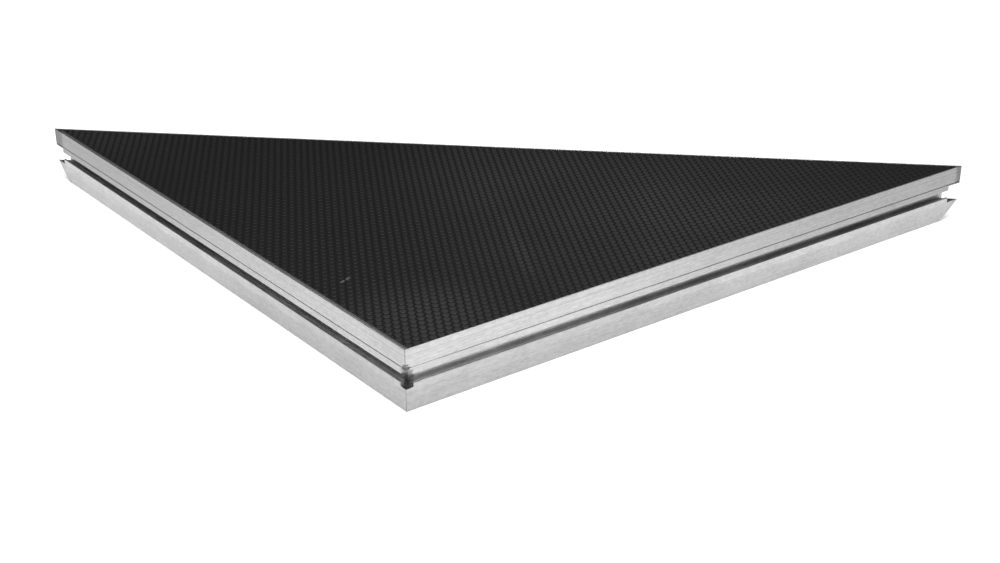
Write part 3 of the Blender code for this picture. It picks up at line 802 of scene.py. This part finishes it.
def spindle_mesh():
    """The clamp screw: a rounded tip, a neck, and a real helical thread up into the knob."""
    step = THREAD_PITCH / 8
    count = int((THREAD_END - THREAD_START) / step)
    sections = [
        (SPINDLE_TIP, 2.2 * MM),
        (SPINDLE_TIP + 0.3 * MM, 3.3 * MM),
        (SPINDLE_TIP + 1.2 * MM, SPINDLE_NECK),
        (THREAD_START - 1.5 * MM, SPINDLE_NECK),
        (THREAD_START - 1.2 * MM, THREAD_RADIUS - THREAD_DEPTH),
        (THREAD_START, THREAD_RADIUS),
    ]
    sections += [(THREAD_START + step * index, THREAD_RADIUS) for index in range(1, count + 1)]
    sections.append((SPINDLE_END, THREAD_RADIUS))
    return finish_mesh("clamp_spindle", lathe(sections, SPINDLE_STEPS, thread_radius))


def knob_reach(x, radius, angle):
    """Star shape: full on the lobes, drawn in between them, growing outward from the hub."""
    outward = max(0.0, (radius - 1.2 * KNOB_HUB) / KNOB_RADIUS)
    wave = math.cos(KNOB_LOBES * angle)
    return radius * (1 + KNOB_SWING * outward * wave)


def knob_mesh():
    """A star knob: a stepped hub, rounded lobes, and a shallow dish with a cap in its face."""
    sections = [
        (KNOB_START, 7.6 * MM),
        (KNOB_START, KNOB_HUB - 0.8 * MM),
        (KNOB_START + 0.8 * MM, KNOB_HUB),
        (KNOB_FACE - 1.5 * MM, KNOB_HUB),
        (KNOB_FACE - 0.4 * MM, KNOB_HUB + 0.5 * MM),
        (KNOB_FACE, KNOB_HUB + 1.6 * MM),
        (KNOB_FACE, KNOB_RADIUS - 3.4 * MM),
    ]
    quarter = [math.pi / 2 * step / KNOB_ROUND_STEPS for step in range(KNOB_ROUND_STEPS + 1)]
    for face_x, inward, angles in ((KNOB_FACE, 1, quarter), (KNOB_TOP, -1, quarter[::-1])):
        for angle in angles:
            sections.append((
                face_x + inward * KNOB_ROUND * (1 - math.cos(angle)),
                KNOB_RADIUS - KNOB_ROUND + KNOB_ROUND * math.sin(angle),
            ))
    sections += [
        (KNOB_TOP, KNOB_RADIUS - 5.0 * MM),
        (KNOB_TOP - 0.3 * MM, 14.5 * MM),
        (KNOB_TOP - 1.2 * MM, 13.0 * MM),
        (KNOB_TOP - 1.2 * MM, 9.6 * MM),
        (KNOB_TOP - 1.8 * MM, 9.3 * MM),
        (KNOB_TOP - 1.8 * MM, 8.9 * MM),
        (KNOB_TOP - 0.6 * MM, 8.6 * MM),
        (KNOB_TOP - 0.2 * MM, 7.8 * MM),
        (KNOB_TOP, 5.0 * MM),
        (KNOB_TOP, 2.0 * MM),
    ]
    return finish_mesh("clamp_star_knob", lathe(sections, KNOB_STEPS, knob_reach))


def bush_mesh():
    """The steel bush moulded into the knob's hub, with a flat collar round the screw."""
    return finish_mesh("knob_bush", lathe([
        (KNOB_START - 0.3 * MM, 6.2 * MM),
        (KNOB_START - 0.3 * MM, 7.2 * MM),
        (KNOB_START, 7.5 * MM),
        (KNOB_START + 1.5 * MM, 7.5 * MM),
    ], SPINDLE_STEPS))


def add_clamps():
    spindle, knob, bush = spindle_mesh(), knob_mesh(), bush_mesh()
    steel = zinc_look("spindle_steel", 0.46, 0.32)
    plastic = knob_look()
    for corner in CORNERS:
        body = "screw_" + corner
        place = clamp_matrix(corner)
        screw = add_piece("spindle_" + corner, spindle, body, steel, place)
        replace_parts(screw, "clamp_screw_" + corner)
        star = add_piece("star_knob_" + corner, knob, body, plastic, place)
        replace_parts(star, "clamp_knob_" + corner)
        add_piece("knob_bush_" + corner, bush, body, steel, place)


# ---- Board screws ----

def board_screw_mesh():
    """A screw with its head down: a domed head with a six-lobed recess, and a tapered shank."""
    low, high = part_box("board_screw_01")
    head_top = low.z + 3 * MM

    def lobed(x, radius, angle):
        if radius > SCREW_RECESS + SCREW_LOBE:
            return radius
        return radius + SCREW_LOBE * math.cos(6 * angle) * radius / SCREW_RECESS

    sections = [
        (low.z + SCREW_RECESS_DEPTH + 0.4 * MM, 0.4 * MM),
        (low.z + SCREW_RECESS_DEPTH, SCREW_RECESS - 0.3 * MM),
        (low.z + 0.2 * MM, SCREW_RECESS),
        (low.z, SCREW_RECESS + 0.45 * MM),
        (low.z, SCREW_CROWN - 0.2 * MM),
        (low.z + 0.35 * MM, SCREW_CROWN + 0.6 * MM),
        (low.z + 1.0 * MM, SCREW_HEAD - 0.7 * MM),
        (low.z + 1.8 * MM, SCREW_HEAD - 0.2 * MM),
        (low.z + 2.4 * MM, SCREW_HEAD),
        (head_top, SCREW_HEAD),
        (head_top, SCREW_SHANK),
        (high.z - 1.5 * MM, SCREW_SHANK),
        (high.z - 0.2 * MM, 0.6 * MM),
    ]
    bm = lathe(sections, SCREW_STEPS, lobed)
    bm.transform(Matrix(((0, 0, 1, 0), (0, 1, 0, 0), (1, 0, 0, 0), (0, 0, 0, 1))))
    bmesh.ops.recalc_face_normals(bm, faces=bm.faces[:])
    return finish_mesh("board_screw", bm)


def add_board_screws():
    mesh = board_screw_mesh()
    steel = zinc_look("fastener_zinc", 0.55, 0.30)
    for node in sorted(frame["nodes"]):
        if node.startswith("board_screw_"):
            low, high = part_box(node)
            place = Matrix.Translation(((low.x + high.x) / 2, (low.y + high.y) / 2, 0))
            name = node.replace("board_screw", "lobed_screw")
            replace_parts(add_piece(name, mesh, "deck", steel, place), node)


# ---- Welds ----

def resampled(path, spacing):
    """Points at an even spacing along a polyline."""
    lengths = [0.0]
    for first, second in zip(path, path[1:]):
        lengths.append(lengths[-1] + (second - first).length)
    count = max(2, round(lengths[-1] / spacing))
    points = []
    segment = 0
    for index in range(count + 1):
        reach = lengths[-1] * index / count
        while segment < len(path) - 2 and lengths[segment + 1] < reach:
            segment += 1
        share = (reach - lengths[segment]) / (lengths[segment + 1] - lengths[segment])
        points.append(path[segment].lerp(path[segment + 1], share))
    return points


def add_bead(bm, path, seed):
    """A weld bead along a path: overlapping ripples that wander a little, with tapered ends."""
    points = resampled(path, BEAD_RIPPLE / BEAD_STEPS)
    rings = []
    last = len(points) - 1
    for index, point in enumerate(points):
        ahead = (points[min(index + 1, last)] - points[max(index - 1, 0)]).normalized()
        aside = ahead.orthogonal().normalized()
        across = ahead.cross(aside)
        ripple = 0.5 - 0.5 * math.cos(2 * math.pi * index / BEAD_STEPS)
        wander = noise.noise(Vector((index * 0.11, seed, 0)))
        radius = BEAD_RADIUS * (0.92 + 0.10 * ripple + 0.18 * wander)
        radius *= min(1.0, 0.35 + 0.25 * min(index, last - index))
        ring = []
        for side in range(BEAD_SIDES):
            angle = 2 * math.pi * side / BEAD_SIDES
            offset = aside * math.cos(angle) + across * math.sin(angle)
            ring.append(bm.verts.new(point + offset * radius))
        rings.append(ring)
    for first, second in zip(rings, rings[1:]):
        for side in range(BEAD_SIDES):
            after = (side + 1) % BEAD_SIDES
            bm.faces.new((first[side], first[after], second[after], second[side]))
    bm.faces.new(rings[0])
    bm.faces.new(rings[-1])


def socket_welds(corner):
    """Beads down both edges of a socket's two pads, and round its boss."""
    half, _ = CORNERS[corner]
    low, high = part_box("leg_socket_" + corner)
    place = clamp_matrix(corner)
    paths = []
    for pad in (math.pi / 2 + half, -math.pi / 2 - half):
        ahead = Vector((math.cos(pad), math.sin(pad), 0))
        aside = Vector((-ahead.y, ahead.x, 0))
        for side in (-1, 1):
            foot = ahead * (SOCKET_RADIUS - 0.8 * MM) + aside * side * (PAD_HALF_WIDTH + MM)
            paths.append([foot + Vector((0, 0, z - CLAMP_HEIGHT))
                          for z in (low.z + 3 * MM, high.z - 3 * MM)])
    ring = []
    reach = BOSS_RADIUS + 0.6 * MM
    for step in range(BOSS_BEAD_STEPS + 1):
        angle = 2 * math.pi * step / BOSS_BEAD_STEPS
        y, z = reach * math.cos(angle), reach * math.sin(angle)
        ring.append(Vector((math.sqrt(SOCKET_RADIUS ** 2 - y * y) + 0.4 * MM, y, z)))
    paths.append(ring)
    return [[place @ point for point in path] for path in paths]


def corner_weld(corner):
    """The upright bead in the inner corner between two sides."""
    half, heading = CORNERS[corner]
    toward = Vector((math.cos(heading), math.sin(heading), 0))
    foot = CORNER_TIPS[corner].to_3d() + toward * (FRAME_DEPTH / math.sin(half) + 0.8 * MM)
    return [foot + Vector((0, 0, z)) for z in CORNER_BEAD]


def joist_welds(node):
    """Beads down both sides and along the bottom of each end of a joist."""
    low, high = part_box(node)
    middle = (low.y + high.y) / 2
    bottom = low.z
    paths = []
    for ending in (False, True):
        feet = []
        for y in (middle - JOIST_HALF, middle + JOIST_HALF):
            x = -FRAME_DEPTH * math.sqrt(2) - y if ending else low.x
            feet.append(Vector((x, y, bottom)))
            top = Vector((x, y, high.z - 8 * MM))
            paths.append([feet[-1], top])
        paths.append(feet)
    return paths


def add_welds():
    look = weld_look()
    groups = {"joist_welds": joist_welds("joist_long") + joist_welds("joist_short")}
    for corner in CORNERS:
        groups["socket_welds_" + corner] = socket_welds(corner) + [corner_weld(corner)]
    for name, paths in groups.items():
        bm = bmesh.new()
        for seed, path in enumerate(paths):
            add_bead(bm, path, seed * 7.3)
        bmesh.ops.recalc_face_normals(bm, faces=bm.faces[:])
        add_piece(name, finish_mesh(name, bm, WELD_ANGLE), "deck", look)


# ---- Stage: floor, light, camera ----

def add_floor():
    bm = bmesh.new()
    bmesh.ops.create_grid(bm, x_segments=1, y_segments=1, size=FLOOR_SIZE / 2)
    mesh = bpy.data.meshes.new("floor")
    bm.to_mesh(mesh)
    bm.free()
    floor = bpy.data.objects.new("floor", mesh)
    bpy.context.scene.collection.objects.link(floor)
    floor.location.z = LOW.z - 0.2 * MM
    look = Look("floor", roughness=0.9)
    look.shader.inputs["Emission Color"].default_value = grey(1.0)
    look.shader.inputs["Emission Strength"].default_value = FLOOR_GLOW
    mesh.materials.append(look.finish(grey(FLOOR_TONE)))


def add_light(name, place, aim, width, height, power):
    data = bpy.data.lights.new(name, "AREA")
    data.shape = "RECTANGLE"
    data.size, data.size_y = width, height
    data.energy = power
    light = bpy.data.objects.new(name, data)
    bpy.context.scene.collection.objects.link(light)
    light.location = place
    light.rotation_mode = "QUATERNION"
    light.rotation_quaternion = (Vector(aim) - Vector(place)).to_track_quat("-Z", "Y")


def add_camera():
    data = bpy.data.cameras.new("camera")
    data.lens = CAMERA_LENS
    data.sensor_width = CAMERA_SENSOR
    camera = bpy.data.objects.new("camera", data)
    bpy.context.scene.collection.objects.link(camera)
    back = Vector((
        math.sin(CAMERA_AZIMUTH) * math.cos(CAMERA_ELEVATION),
        -math.cos(CAMERA_AZIMUTH) * math.cos(CAMERA_ELEVATION),
        math.sin(CAMERA_ELEVATION),
    ))
    level = (-back).to_track_quat("-Z", "Y")
    rolled = level.to_matrix() @ Matrix.Rotation(CAMERA_ROLL, 3, "Z")
    camera.matrix_world = Matrix.Translation(CAMERA_PLACE) @ rolled.to_4x4()
    bpy.context.scene.camera = camera


def add_stage():
    scene = bpy.context.scene
    scene.view_settings.view_transform = "Standard"
    world = bpy.data.worlds.new("studio")
    world.use_nodes = True
    world.node_tree.nodes["Background"].inputs["Color"].default_value = grey(WORLD_TONE)
    scene.world = world
    add_floor()
    for name, settings in LIGHTS.items():
        add_light(name, *settings)
    add_camera()


def main():
    add_board()
    dress_frame()
    add_board_screws()
    add_clamps()
    add_welds()
    add_stage()


main()
